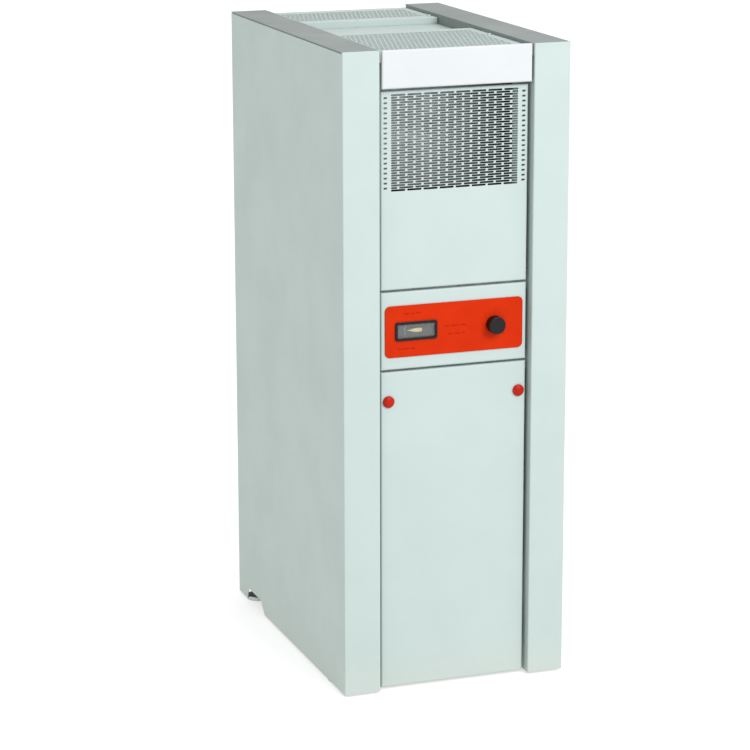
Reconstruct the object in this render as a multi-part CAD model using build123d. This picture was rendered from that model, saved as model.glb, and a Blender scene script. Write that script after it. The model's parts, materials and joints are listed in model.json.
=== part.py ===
from build123d import *
from math import cos, radians, sin, sqrt
import os

# Floor-standing atmospheric gas boiler. Millimetres, +Z up, front towards -Y.
# Heights are from the floor, depths from the front face of the stiles.

# cabinet
cabinet_width = 310
cabinet_depth = 470
cabinet_height = 850
sheet = 1.0
fold_radius = 1.2
pan_radius = 2.2
overcut = 1
edge_round = 0.6
floor_gap = 3
stile_width = 50
stile_return = 45
stile_lip = 12
rear_return = 25
seam = 1.3
notch_front = 125
notch_rear = 39
notch_height = 20
notch_slope = 20
notch_rear_slope = 7
notch_radius = 7

# top of the cabinet
rail_width = 51
rail_flange = 15
shelf_width = 12
lid_drop = 4.5
lid_depth_below_rail = 14.5
lid_side_gap = 0.8
front_lid_start = 3.6
front_lid_end = 212
rear_lid_start = 340
rear_lid_clearance = 2
tray_gap = 1
screw_head_r = 3.2
screw_head_height = 2.0
screw_shank_r = 1.6
screw_length = 12
screw_inset = 6
screw_dome = 1.2
screw_slot_length = 4.2
screw_slot_width = 0.7
front_screw_setback = 76
rear_screw_offset = 18

# front panels
header_height = 49
header_end_gap = 3
header_hem = 3
header_joint = 4
panel_recess = 9.5
panel_side_gap = 4.3
panel_depth = 8.5
upper_panel_height = 256
panel_joint = 3
control_height = 102
door_bottom = 4
body_gap = 0.3

# perforation
slot_width = 2.6
slot_bridge = 2.6
slot_pitch = 22
edge_slot_length = 5
edge_slot_inset = 6.3
lid_slot_width = 1.5
row_pitch = 3.2
grille_top_margin = 3
grille_bottom_margin = 127
grille_side_margin = 12
lid_margin = 12

# control fascia and instruments
fascia_inset = 5.3
fascia_height = 68
fascia_radius = 7
fascia_thickness = 1.5
fascia_edge = 0.6
fascia_above_panel_edge = 16
instrument_height = 34
thermometer_inset = 42.4
bezel_width = 58
bezel_height = 25
bezel_border = 3.5
bezel_proud = 1.6
bezel_edge = 0.5
bezel_radius = 3.5
housing_wall = 1.2
housing_depth = 32
housing_clearance = 0.2
glass_depth = 0.8
glass_thickness = 1.0
dial_depth = 7.6
dial_thickness = 0.6
pointer_pivot = 7
pointer_length = 18.5
pointer_tail = 1
pointer_half_height = 3.6
pointer_thickness = 0.6
pointer_depth = 4.4
pointer_hub_r = 2.4
pointer_pin_r = 0.8
pointer_pin_length = 4.2
running_clearance = 0.05
knob_inset = 39.9
knob_r = 11.6
knob_height = 12
knob_gap = 0.5
knob_edge = 1.2
knob_shaft_r = 3
knob_shaft_length = 22
grip_count = 18
grip_r = 1.0
grip_offset = 0.4
grip_end_gap = 3
mark_width = 1.2
mark_depth = 0.5
mark_start = 5
mark_end_gap = 1.5
bush_r = 5
bush_clearance = 0.2
thermostat_size = (36, 38, 40)
thermostat_edge = 2
capillary_outlet_rise = 10
control_box_inset = 10.2
control_box_height = 80
control_box_depth = 64
capillary_drop = 11
capillary_hole_r = 2.7

# door fasteners
fastener_inset = 10.2
fastener_drop = 39
cap_r = 7.75
cap_height = 4.5
cap_rim = 1.6
stem_r = 3
collar_r = 5
collar_thickness = 1.2
blade_length = 14
blade_height = 4
blade_thickness = 2
blade_setback = 17
blade_play = 1.4
catch_thickness = 1.5
catch_gap = 1.0
catch_height = 30
catch_lap = 7
catch_width = 26

# base
frame_height = 30
frame_bottom = 24
frame_clearance = 1
frame_rear_gap = 12
frame_rail_width = 32
frame_wall = 2
foot_pad_r = 16
foot_pad_height = 6
foot_edge = 1.5
foot_stem_r = 5
foot_stem_top = 78
foot_inset_x = 17
foot_inset_y = 24
nut_flats = 17
nut_height = 8
crossbar_height = 26
crossbar_depth = 14
crossbar_wall = 1.2

# combustion chamber
chamber_wall = 1.5
chamber_side_gap = 29
chamber_front = 112
chamber_rear_space = 85
chamber_top = 300
chamber_ledge = 30
chamber_foot = 24
tray_bottom = 116
tray_thickness = 2
board_thickness = 18
burner_plate_thickness = 2
burner_plate_bottom = 140

# burner
bar_count = 4
bar_width = 26
bar_height = 44
bar_wall = 0.8
bar_axis_height = 205
port_pitch = 8
port_width = 1.2
port_length = 16
port_end_margin = 14
port_depth = 8.6
venturi_r = 13
venturi_wall = 1.0
venturi_length = 20
mouth_r = 17
mouth_length = 8
manifold_size = 22
manifold_wall = 2
manifold_front = 52
manifold_end_gap = 2
manifold_bracket = 2
injector_flats = 12
injector_hex_length = 8
injector_tip_r = 3
injector_tip_length = 7
injector_bore_r = 2
injector_end_wall = 2
injector_orifice_r = 0.6

# gas valve
valve_size = (70, 46, 75)
valve_centre_x = 10
valve_front = 40
valve_bottom = 85
valve_edge = 3
valve_inlet_length = 20
riser_r = 9
valve_control_height = 45
valve_knob_x = -8
valve_knob_r = 13
valve_knob_height = 12
valve_knob_edge = 1
valve_grip_width = 4
valve_grip_height = 3
valve_grip_end_gap = 2
valve_boss_r = 7.8
valve_boss_height = 2
pilot_port_depth = 6
valve_shaft_length = 12
button_x = 30
button_r = 6
button_proud = 9
button_travel = 4
button_seat = 10
gas_pipe_r = 10.65
gas_thread_r = 10.48
gas_thread_length = 22
gas_pipe_wall = 2.3
gas_pipe_height = 98
gas_pipe_x = 92
gas_pipe_bend = 30
pipe_stub = 38

# pilot group
pilot_pitch = 7
pilot_setback = 22
pilot_r = 3
pilot_wall = 1
pilot_top = 22
pilot_drop = 6
pilot_floor = 4
pilot_sheet = 1.5
pilot_flag_height = 12
probe_r = 1.5
probe_top = 22
electrode_r = 2.5
electrode_wire_r = 0.8
electrode_drop = 14
electrode_lap = 4
electrode_ceramic_top = 16
electrode_tip = 24
pilot_bracket_height = 10
pilot_bracket_width = 20
pilot_bracket_depth = 30
pilot_line_height = 128
line_bend = 8

# cast-iron block
block_side_gap = 43
block_front = 120
block_rear_space = 93
block_top_space = 275
section_count = 4
section_gap = 11
section_wall = 8
section_corner = 6
cavity_end_wall = 16
cavity_side_wall = 24
port_r = 24
port_inset = 30
fin_count = 8
fin_thickness = 3
fin_gap = 1
fin_end_margin = 65
rib_width = 6
rib_end_margin = 10
nipple_wall = 4
tie_rod_r = 5
tie_rod_inset_x = 12
tie_rod_inset_z = 18
tie_rod_clearance = 0.5
tie_rod_overhang = 14
insulation = 20
insulation_standoff = 16
insulation_rear_standoff = 18

# water and flue
water_pipe_r = 21.2
water_thread_r = 20.95
water_thread_length = 30
water_pipe_wall = 3
pipe_hole_clearance = 2
pocket_flange_r = 15
pocket_flange_thickness = 5
pocket_neck_r = 10
pocket_neck_length = 34
pocket_tube_r = 6
pocket_bore_r = 4
pocket_depth = 42
pocket_end_wall = 3
pocket_hole_clearance = 6
capillary_r = 0.9
capillary_spacing = 2
capillary_bend = 5
cable_r = 2.5
cable_bend = 5.5
cable_y = 46
cable_plug_inset = 10
hood_front = 130
hood_rear_space = 40
hood_bottom = 75
hood_height = 150
hood_wall = 1.2
hood_leg_width = 20
collector_wall = 1.5
collector_height = 65
collector_throat_height = 24
throat_half_width = 60
throat_half_depth = 50
baffle_rise = 55
baffle_rear_reach = 35
spigot_r = 55
spigot_body_step = 1
spigot_wall = 1.5
spigot_end_length = 38
spigot_axis_rise = 75
spigot_stub = 40
spigot_flange = 12
gland_r = 8
gland_bore_r = 4
gland_flats = 22
gland_x = 100
gland_height = 250
gland_nut = 5
gland_body = 12
louvre_count = 6
louvre_length = 70
louvre_height = 6
louvre_pitch = 16
louvre_height_from_floor = 150
louvre_x = 70

# derived positions
half_width = cabinet_width / 2
inner_half = half_width - sheet
opening_half = half_width - stile_width
panel_half = opening_half - panel_side_gap
panel_face = panel_recess
panel_back = panel_recess + panel_depth
header_bottom = cabinet_height - header_height
upper_top = header_bottom - header_joint
upper_bottom = upper_top - upper_panel_height
control_top = upper_bottom - panel_joint
control_bottom = control_top - control_height
door_top = control_bottom - panel_joint
fascia_half = panel_half - fascia_inset
fascia_bottom = control_bottom + fascia_above_panel_edge
fascia_front = panel_face - fascia_thickness
instrument_z = fascia_bottom + instrument_height
thermometer_x = -fascia_half + thermometer_inset
bezel_front = fascia_front - bezel_proud
pocket_width = bezel_width - 2 * bezel_border
pocket_height = bezel_height - 2 * bezel_border
pivot_x = thermometer_x + pointer_pivot
knob_x = fascia_half - knob_inset
knob_back = fascia_front - knob_gap
knob_front = knob_back - knob_height
bush_front = fascia_front - bush_clearance / 2
fastener_x = panel_half - fastener_inset
fastener_z = door_top - fastener_drop
shelf_top = cabinet_height - lid_depth_below_rail
lid_top = cabinet_height - lid_drop
rail_inner = half_width - rail_width
lid_half = rail_inner - lid_side_gap
shelf_bottom = shelf_top - sheet
rear_face = cabinet_depth - 2 * sheet
frame_top = frame_bottom + frame_height
frame_front = stile_return + frame_clearance
frame_rear = cabinet_depth - frame_rear_gap
frame_inner = inner_half - frame_rail_width
foot_x = half_width - foot_inset_x
foot_front_y = frame_front + foot_inset_y
foot_rear_y = frame_rear - foot_inset_y
chamber_half = half_width - chamber_side_gap
chamber_inner = chamber_half - chamber_wall
chamber_rear = cabinet_depth - chamber_rear_space
board_inner = chamber_inner - board_thickness
board_front_of_rear = chamber_rear - chamber_wall - board_thickness
tray_top = tray_bottom + tray_thickness
bar_pitch = 2 * board_inner / bar_count
plate_front = chamber_front - burner_plate_thickness
manifold_back = manifold_front + manifold_size
manifold_half = bar_pitch * (bar_count - 1) / 2 + mouth_r + manifold_end_gap
valve_back = valve_front + valve_size[1]
valve_top = valve_bottom + valve_size[2]
valve_left = valve_centre_x - valve_size[0] / 2
valve_right = valve_centre_x + valve_size[0] / 2
valve_control_z = valve_bottom + valve_control_height
valve_boss_front = valve_front - valve_boss_height
pilot_port_end = valve_back - pilot_port_depth
riser_y = manifold_front + manifold_size / 2
block_half = half_width - block_side_gap
block_rear = cabinet_depth - block_rear_space
block_bottom = chamber_top
block_top = cabinet_height - block_top_space
section_pitch = (block_rear - block_front + section_gap) / section_count
section_depth = section_pitch - section_gap
flow_z = block_top - port_inset
return_z = block_bottom + port_inset
jacket_front = block_front - insulation_standoff
jacket_rear = block_rear + insulation_rear_standoff
hood_half = block_half
hood_rear = cabinet_depth - hood_rear_space
hood_low = block_top + hood_bottom
hood_top = hood_low + hood_height
spigot_z = hood_low + spigot_axis_rise
spigot_body_r = spigot_r + spigot_body_step
pilot_y = chamber_front + pilot_setback
pilot_base = bar_axis_height + pilot_bracket_height
rearmost = cabinet_depth + spigot_stub
middle_y = (knob_front + rearmost) / 2


def box(x0, x1, y0, y1, z0, z1):
    size = Box(x1 - x0, y1 - y0, z1 - z0)
    return Pos((x0 + x1) / 2, (y0 + y1) / 2, (z0 + z1) / 2) * size


def rod_y(x, z, y0, y1, r):
    turned = Rot(-90, 0, 0) * Cylinder(r, y1 - y0)
    return Pos(x, (y0 + y1) / 2, z) * turned


def rod_z(x, y, z0, z1, r):
    return Pos(x, y, (z0 + z1) / 2) * Cylinder(r, z1 - z0)


def tube_y(x, z, y0, y1, r, wall):
    return rod_y(x, z, y0, y1, r) - rod_y(x, z, y0 - overcut, y1 + overcut, r - wall)


def hex_y(x, z, y0, y1, flats):
    outline = RegularPolygon(flats / sqrt(3), 6)
    return Pos(x, y1, z) * extrude(Plane.XZ * outline, y1 - y0)


def hex_z(x, y, z0, z1, flats):
    return Pos(x, y, z0) * extrude(RegularPolygon(flats / sqrt(3), 6), z1 - z0)


def pipe(points, bend, r):
    path = FilletPolyline(*points, radius=bend)
    return sweep(Plane(origin=path @ 0, z_dir=path % 0) * Circle(r), path=path)


def mirrored(shape):
    return mirror(shape, about=Plane.YZ)


def write(node, shape):
    placed = Pos(0, -middle_y, 0) * shape
    export_step(placed, f"parts/{node}.step")


def group(pieces):
    return Compound([solid for piece in pieces for solid in piece.solids()])


def slot_field(width, height, opening, edge_x=0):
    # staggered rows of slots: every other row is half a pitch across and ends in short slots
    rows = int((height - opening) / row_pitch) + 1
    columns = int((width + slot_bridge) / slot_pitch)
    long_slot = SlotOverall(slot_pitch - slot_bridge, opening)
    short_slot = SlotOverall(slot_pitch / 2 - slot_bridge, opening)
    edge_slot = SlotOverall(edge_slot_length, opening)
    end_x = (columns * slot_pitch - slot_pitch / 2) / 2
    slots = []
    for row in range(rows):
        y = (row - (rows - 1) / 2) * row_pitch
        shifted = row % 2
        count = columns - shifted
        for column in range(count):
            slots.append(Pos((column - (count - 1) / 2) * slot_pitch, y) * long_slot)
        if shifted:
            slots += [Pos(side * end_x, y) * short_slot for side in (-1, 1)]
        if shifted and edge_x:
            slots += [Pos(side * edge_x, y) * edge_slot for side in (-1, 1)]
    return Sketch() + slots


def front_pan(half, y0, y1, z0, z1):
    # shallow pan: flat face with its four edges folded back
    outer = box(-half, half, y0, y1, z0, z1)
    front = outer.faces().sort_by(Axis.Y)[0]
    outer = fillet(front.edges(), pan_radius)
    inner = box(-half + sheet, half - sheet, y0 + sheet, y1 + overcut, z0 + sheet, z1 - sheet)
    inner = fillet(inner.faces().sort_by(Axis.Y)[0].edges(), pan_radius - sheet)
    return outer - inner


# casing

def side_panel():
    # left side: rear return, side, front stile and its folded-in edge in one sheet
    mid = sheet / 2
    outline = FilletPolyline(
        (-half_width + rear_return, cabinet_depth - mid),
        (-half_width + mid, cabinet_depth - mid),
        (-half_width + mid, mid),
        (-opening_half - mid, mid),
        (-opening_half - mid, stile_return - mid),
        (-opening_half - mid + stile_lip, stile_return - mid),
        radius=fold_radius,
    )
    panel = extrude(trace(outline, line_width=sheet), cabinet_height - floor_gap)
    panel = Pos(0, 0, floor_gap) * panel
    top_edge = cabinet_height - sheet - seam
    back = sheet + body_gap
    above = cabinet_height + overcut
    panel -= box(-half_width - overcut, 0, back, cabinet_depth + overcut, top_edge, above)
    return_top = shelf_bottom - body_gap
    fold_clear = -half_width + sheet + fold_radius
    panel -= box(fold_clear, 0, back, stile_return + overcut, return_top, above)
    notch_start = cabinet_depth - notch_front
    notch_end = cabinet_depth - notch_rear
    corners = Polyline(
        (notch_start, 0),
        (notch_start + notch_slope, notch_height),
        (notch_end - notch_rear_slope, notch_height),
        (notch_end, 0),
        (notch_start, 0),
    )
    profile = make_face(corners)
    profile = fillet(profile.vertices().sort_by(Axis.Y)[-2:], notch_radius)
    cut = extrude(Plane.YZ * profile, sheet + overcut, both=True)
    return panel - Pos(-half_width, 0, 0) * cut


def top_rail():
    # left rail: flange inside the side sheet, flat top, inner lip and lid shelf
    back = sheet + body_gap
    top = box(-half_width, -rail_inner, back, cabinet_depth, cabinet_height - sheet, cabinet_height)
    top = fillet(top.edges().filter_by(Axis.Y).group_by(Axis.Z)[-1], edge_round)
    flange_low = cabinet_height - rail_flange
    low_y = back + fold_radius * 2
    high_y = cabinet_depth - 2 * sheet - body_gap
    flange = box(-inner_half, -inner_half + sheet, low_y, high_y, flange_low, cabinet_height - sheet)
    lip = box(-rail_inner - sheet, -rail_inner, back, high_y, shelf_bottom, cabinet_height - sheet)
    shelf_y = header_hem + body_gap
    shelf = box(-rail_inner - sheet, -rail_inner + shelf_width, shelf_y, high_y, shelf_bottom, shelf_top)
    rail = top + flange + lip + shelf
    for y in (front_lid_end - front_screw_setback, rear_lid_start + rear_screw_offset):
        x = -lid_half + screw_inset
        rail -= rod_z(x, y, shelf_bottom - overcut, shelf_top + overcut, screw_shank_r)
    return rail


def rear_panel():
    low = frame_bottom
    high = shelf_bottom - body_gap
    edge = inner_half - fold_radius
    plate = box(-edge, edge, rear_face, rear_face + sheet, low, high)
    start = rear_face - overcut
    end = rear_face + sheet + overcut
    holes = rod_y(0, spigot_z, start, end, spigot_body_r + pipe_hole_clearance)
    for z in (flow_z, return_z):
        holes += rod_y(0, z, start, end, water_pipe_r + pipe_hole_clearance)
    gas_hole = gas_pipe_r + pipe_hole_clearance
    holes += rod_y(-gas_pipe_x, gas_pipe_height, start, end, gas_hole)
    holes += rod_y(gland_x, gland_height, start, end, gland_r)
    plate -= holes
    for side in (-1, 1):
        for row in range(louvre_count):
            z = louvre_height_from_floor + row * louvre_pitch
            x = side * louvre_x
            slot = SlotOverall(louvre_length, louvre_height)
            plate -= Pos(x, end, z) * extrude(Plane.XZ * slot, end - start)
    return plate


def header_bar():
    # plain band across the top, its ends folded back to the crossbar
    half = opening_half - header_end_gap
    bar = front_pan(half, 0, panel_back, header_bottom, cabinet_height)
    bar -= box(
        -half - overcut, half + overcut, header_hem, panel_back + overcut,
        shelf_bottom - body_gap, cabinet_height + overcut,
    )
    return bar


def lid(y0, y1):
    # perforated cover standing on the rail shelves by its folded edges
    outer = box(-lid_half, lid_half, y0, y1, shelf_top, lid_top)
    outer = fillet(outer.faces().sort_by(Axis.Z)[-1].edges(), edge_round)
    inner = box(
        -lid_half + sheet, lid_half - sheet, y0 + sheet, y1 - sheet, shelf_top - overcut, lid_top - sheet
    )
    cover = outer - inner
    field = slot_field(y1 - y0 - 2 * lid_margin, 2 * (lid_half - lid_margin), lid_slot_width)
    cutter = extrude(Rot(0, 0, 90) * field, 2 * sheet, both=True)
    return cover - Pos(0, (y0 + y1) / 2, lid_top - sheet / 2) * cutter


def screw_places():
    front_y = front_lid_end - front_screw_setback
    rear_y = rear_lid_start + rear_screw_offset
    inset = lid_half - screw_inset
    return [(-inset, front_y), (inset, front_y), (-inset, rear_y), (inset, rear_y)]


def drilled_lid(y0, y1):
    cover = lid(y0, y1)
    for x, y in screw_places():
        if y0 < y < y1:
            cover -= rod_z(x, y, lid_top - 2 * sheet, lid_top + overcut, screw_shank_r)
    return cover


def lid_screws():
    screws = []
    for x, y in screw_places():
        head = rod_z(x, y, lid_top, lid_top + screw_head_height, screw_head_r)
        head = fillet(head.edges().group_by(Axis.Z)[-1], screw_dome)
        slot = Box(screw_slot_length, screw_slot_width, screw_head_height)
        recess = slot + Rot(0, 0, 90) * slot
        head -= Pos(x, y, lid_top + screw_head_height) * recess
        shank = rod_z(x, y, lid_top - screw_length, lid_top, screw_shank_r)
        screws.append(head + shank)
    return group(screws)


def centre_tray():
    y0 = front_lid_end + tray_gap
    y1 = rear_lid_start - tray_gap
    return box(-lid_half, lid_half, y0, y1, shelf_top, shelf_top + sheet)


def upper_front_panel():
    pan = front_pan(panel_half, panel_face, panel_back, upper_bottom, upper_top)
    low = upper_bottom + grille_bottom_margin
    high = upper_top - grille_top_margin
    clear_width = 2 * (panel_half - grille_side_margin)
    field = slot_field(clear_width, high - low, slot_width, panel_half - edge_slot_inset)
    cutter = extrude(Plane.XZ * field, 2 * sheet, both=True)
    return pan - Pos(0, panel_face, (low + high) / 2) * cutter


# controls

def instrument_cut(y0, y1):
    margin = housing_wall + housing_clearance
    half_w = pocket_width / 2 + margin
    half_h = pocket_height / 2 + margin
    cut = box(
        thermometer_x - half_w, thermometer_x + half_w, y0, y1, instrument_z - half_h, instrument_z + half_h
    )
    return cut + rod_y(knob_x, instrument_z, y0, y1, bush_r)


def control_panel():
    pan = front_pan(panel_half, panel_face, panel_back, control_bottom, control_top)
    return pan - instrument_cut(panel_face - overcut, panel_face + sheet + overcut)


def control_fascia():
    outline = RectangleRounded(2 * fascia_half, fascia_height, fascia_radius)
    plate = extrude(Plane.XZ * outline, fascia_thickness)
    plate = Pos(0, panel_face, fascia_bottom + fascia_height / 2) * plate
    rim = plate.faces().sort_by(Axis.Y)[0].edges()
    plate = fillet(rim, fascia_edge)
    return plate - instrument_cut(fascia_front - overcut, panel_face + overcut)


def control_box():
    half = panel_half - control_box_inset
    y0 = panel_face + sheet
    y1 = y0 + control_box_depth
    z0 = (control_bottom + control_top - control_box_height) / 2
    z1 = z0 + control_box_height
    shell = box(-half, half, y0, y1, z0, z1)
    shell -= box(-half + sheet, half - sheet, y0 - overcut, y1 - sheet, z0 + sheet, z1 - sheet)
    for x in (-line_bend, line_bend):
        shell -= rod_y(x, z1 - capillary_drop, y1 - 2 * sheet, y1 + sheet, capillary_hole_r)
    return shell - rod_z(knob_x, cable_y, z0 - overcut, z0 + 2 * sheet, cable_r)


def thermometer_housing():
    bezel = extrude(Plane.XZ * RectangleRounded(bezel_width, bezel_height, bezel_radius), bezel_proud)
    bezel = Pos(0, fascia_front, 0) * bezel
    bezel = fillet(bezel.faces().sort_by(Axis.Y)[0].edges(), bezel_edge)
    half_w = pocket_width / 2
    half_h = pocket_height / 2
    wall = housing_wall
    back = fascia_front + housing_depth
    body = box(-half_w - wall, half_w + wall, fascia_front, back, -half_h - wall, half_h + wall)
    pocket = box(-half_w, half_w, bezel_front - overcut, bezel_front + dial_depth, -half_h, half_h)
    pin_end = bezel_front + pointer_depth + pointer_thickness + pointer_pin_length
    bore_r = pointer_pin_r + running_clearance
    bore = rod_y(pointer_pivot, 0, bezel_front + dial_depth - overcut, pin_end + body_gap, bore_r)
    inlet = rod_y(0, 0, back - line_bend, back + overcut, capillary_r)
    return Pos(thermometer_x, 0, instrument_z) * (bezel + body - pocket - bore - inlet)


def thermometer_window():
    y0 = bezel_front + glass_depth
    half_w = pocket_width / 2
    half_h = pocket_height / 2
    glass = box(-half_w, half_w, y0, y0 + glass_thickness, -half_h, half_h)
    return Pos(thermometer_x, 0, instrument_z) * glass


def thermometer_dial():
    y1 = bezel_front + dial_depth
    half_w = pocket_width / 2
    half_h = pocket_height / 2
    dial = box(-half_w, half_w, y1 - dial_thickness, y1, -half_h, half_h)
    hole = rod_y(pointer_pivot, 0, y1 - overcut, y1 + overcut, pointer_pin_r + running_clearance)
    return Pos(thermometer_x, 0, instrument_z) * (dial - hole)


def thermometer_pointer():
    y0 = bezel_front + pointer_depth
    outline = make_face(
        Polyline(
            (-pointer_length, 0),
            (-pointer_tail, pointer_half_height),
            (-pointer_tail, -pointer_half_height),
            (-pointer_length, 0),
        )
    )
    hand = Pos(0, y0 + pointer_thickness, 0) * extrude(Plane.XZ * outline, pointer_thickness)
    hub = rod_y(0, 0, y0, y0 + pointer_thickness, pointer_hub_r)
    pin_start = y0 + pointer_thickness
    pin = rod_y(0, 0, pin_start, pin_start + pointer_pin_length, pointer_pin_r)
    return Pos(pivot_x, 0, instrument_z) * (hand + hub + pin)


def thermostat_body():
    wide, deep, high = thermostat_size
    y0 = panel_face + sheet
    body = box(-wide / 2, wide / 2, y0, y0 + deep, -high / 2, high / 2)
    body = fillet(body.edges().filter_by(Axis.Y), thermostat_edge)
    body += rod_y(0, 0, bush_front, y0, bush_r)
    shaft_end = knob_back + knob_shaft_length + body_gap
    body -= rod_y(0, 0, bush_front - overcut, shaft_end, knob_shaft_r + running_clearance)
    inlet = rod_y(0, capillary_outlet_rise, y0 + deep - line_bend, y0 + deep + overcut, capillary_r)
    socket = rod_z(0, y0 + deep / 2, -high / 2 - 1, -high / 2 + line_bend, cable_r)
    return Pos(knob_x, 0, instrument_z) * (body - inlet - socket)


def thermostat_knob():
    cap = rod_y(0, 0, knob_front, knob_back, knob_r)
    cap = fillet(cap.faces().sort_by(Axis.Y)[0].edges(), knob_edge)
    reach = knob_r + grip_offset
    for step in range(grip_count):
        angle = radians(360 / grip_count * (step + 0.5))
        x = reach * cos(angle)
        z = reach * sin(angle)
        cap -= rod_y(x, z, knob_front - overcut, knob_back - grip_end_gap, grip_r)
    half = mark_width / 2
    mark_end = knob_r - mark_end_gap
    cap -= box(-half, half, knob_front - overcut, knob_front + mark_depth, mark_start, mark_end)
    shaft = rod_y(0, 0, knob_back, knob_back + knob_shaft_length, knob_shaft_r)
    return Pos(knob_x, 0, instrument_z) * (cap + shaft)


def capillaries():
    z1 = (control_bottom + control_top + control_box_height) / 2 - capillary_drop
    box_back = panel_face + sheet + control_box_depth
    outside = box_back + capillary_bend
    inside = box_back - 2 * capillary_bend
    well_end = block_front + pocket_depth - line_bend
    thermometer_back = fascia_front + housing_depth
    thermostat_back = panel_face + sheet + thermostat_size[1]
    starts = [
        (-1, thermometer_x, thermometer_back - line_bend, instrument_z),
        (1, knob_x, thermostat_back - line_bend, instrument_z + capillary_outlet_rise),
    ]
    lines = []
    for side, x, y, z in starts:
        well_x = side * capillary_spacing
        points = [
            (x, y, z),
            (x, inside, z),
            (side * line_bend, inside, z1),
            (side * line_bend, outside, z1),
            (well_x, outside, flow_z),
            (well_x, well_end, flow_z),
        ]
        lines.append(pipe(points, capillary_bend, capillary_r))
    return group(lines)


def valve_cable():
    # thermostat to gas valve, dropping behind the crossbar and in front of the manifold
    body_low = instrument_z - thermostat_size[2] / 2
    box_low = (control_bottom + control_top - control_box_height) / 2
    start_y = panel_face + sheet + thermostat_size[1] / 2
    inside = (body_low + box_low) / 2
    turn = valve_top + 4 * cable_bend
    plug_x = valve_right - cable_plug_inset
    points = [
        (knob_x, start_y, body_low + line_bend),
        (knob_x, start_y, inside),
        (knob_x, cable_y, inside),
        (knob_x, cable_y, turn),
        (plug_x, cable_y, turn),
        (plug_x, cable_y, valve_top - line_bend),
    ]
    return pipe(points, cable_bend, cable_r)


# door

def lower_door():
    pan = front_pan(panel_half, panel_face, panel_back - body_gap, door_bottom, door_top)
    hole_r = stem_r + running_clearance
    for x in (-fastener_x, fastener_x):
        pan -= rod_y(x, fastener_z, panel_face - overcut, panel_face + 2 * sheet, hole_r)
    return pan


def fastener(x):
    back = panel_face - body_gap
    front = back - cap_height
    rim = rod_y(0, 0, back - cap_rim, back, cap_r)
    arch = cap_height - cap_rim
    dome_r = (cap_r ** 2 + arch ** 2) / (2 * arch)
    dome = Pos(0, front + dome_r, 0) * Sphere(dome_r)
    cap = rim + (dome & rod_y(0, 0, front - overcut, back - cap_rim, cap_r))
    blade_y = panel_face + blade_setback
    stem = rod_y(0, 0, back, blade_y + blade_thickness, stem_r)
    collar_y = panel_face + sheet + body_gap
    collar = rod_y(0, 0, collar_y, collar_y + collar_thickness, collar_r)
    half = blade_length / 2
    blade = box(-half, half, blade_y, blade_y + blade_thickness, -blade_height / 2, blade_height / 2)
    return Pos(x, 0, fastener_z) * (cap + stem + collar + blade)


def door_catch(side):
    # plate on the stile's return with a cross slot that the fastener's blade enters
    y1 = panel_face + blade_setback - catch_gap
    y0 = y1 - catch_thickness
    low = fastener_z - catch_height / 2
    high = fastener_z + catch_height / 2
    plate = box(opening_half - catch_width, opening_half, y0, y1, low, high)
    plate += box(opening_half - catch_thickness, opening_half, y0, y1 + catch_lap, low, high)
    half = blade_length / 2 + blade_play
    rise = max(blade_height / 2, stem_r) + blade_play
    plate -= box(
        fastener_x - half, fastener_x + half, y0 - overcut, y1 + overcut,
        fastener_z - rise, fastener_z + rise,
    )
    return plate if side > 0 else mirrored(plate)


# base

def base_frame():
    # four inverted channels welded in a rectangle
    inner_front = frame_front + frame_rail_width
    inner_rear = frame_rear - frame_rail_width
    ring = box(-inner_half, inner_half, frame_front, frame_rear, frame_bottom, frame_top)
    ring -= box(
        -frame_inner, frame_inner, inner_front, inner_rear,
        frame_bottom - overcut, frame_top + overcut,
    )
    wall = frame_wall
    hollow = box(
        -inner_half + wall, inner_half - wall, frame_front + wall, frame_rear - wall,
        frame_bottom - overcut, frame_top - wall,
    )
    hollow -= box(
        -frame_inner - wall, frame_inner + wall, inner_front - wall, inner_rear + wall,
        frame_bottom - 2, frame_top,
    )
    ring -= hollow
    for x, y in foot_places():
        ring -= rod_z(x, y, frame_bottom, frame_top + overcut, foot_stem_r)
    return ring


def foot_places():
    return [(sx * foot_x, y) for sx in (-1, 1) for y in (foot_front_y, foot_rear_y)]


def levelling_feet():
    feet = []
    for x, y in foot_places():
        pad = rod_z(x, y, 0, foot_pad_height, foot_pad_r)
        pad = fillet(pad.edges().group_by(Axis.Z)[-1], foot_edge)
        feet.append(pad + rod_z(x, y, foot_pad_height, foot_stem_top, foot_stem_r))
    return group(feet)


def foot_nuts():
    nuts = []
    web_bottom = frame_top - frame_wall
    for x, y in foot_places():
        for z0 in (web_bottom - nut_height, frame_top):
            nut = hex_z(x, y, z0, z0 + nut_height, nut_flats)
            nuts.append(nut - rod_z(x, y, z0 - overcut, z0 + nut_height + overcut, foot_stem_r))
    return group(nuts)


def crossbar(z0, z1):
    bar = box(-opening_half, opening_half, panel_back, panel_back + crossbar_depth, z0, z1)
    wall = crossbar_wall
    inner = box(
        -opening_half - overcut, opening_half + overcut,
        panel_back + wall, panel_back + crossbar_depth + overcut, z0 + wall, z1 - wall,
    )
    return bar - inner


def front_crossbars():
    middle = (control_bottom + control_top) / 2
    reach = control_box_height / 2 + sheet
    low_top = middle - reach
    mid_low = middle + reach
    return group([
        crossbar(header_bottom - sheet, header_bottom - sheet + crossbar_height),
        crossbar(mid_low, mid_low + crossbar_height),
        crossbar(low_top - crossbar_height, low_top),
    ])


# combustion chamber

def chamber_side():
    x0 = -chamber_half
    x1 = -chamber_inner
    side = box(x0, x1, chamber_front, chamber_rear, frame_top, chamber_top)
    under = chamber_top - chamber_wall
    ledge = box(x0, x0 + chamber_ledge, chamber_front, chamber_rear, under, chamber_top)
    foot = box(x0 - chamber_foot, x1, chamber_front, chamber_rear, frame_top, frame_top + chamber_wall)
    return side + ledge + foot


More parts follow.
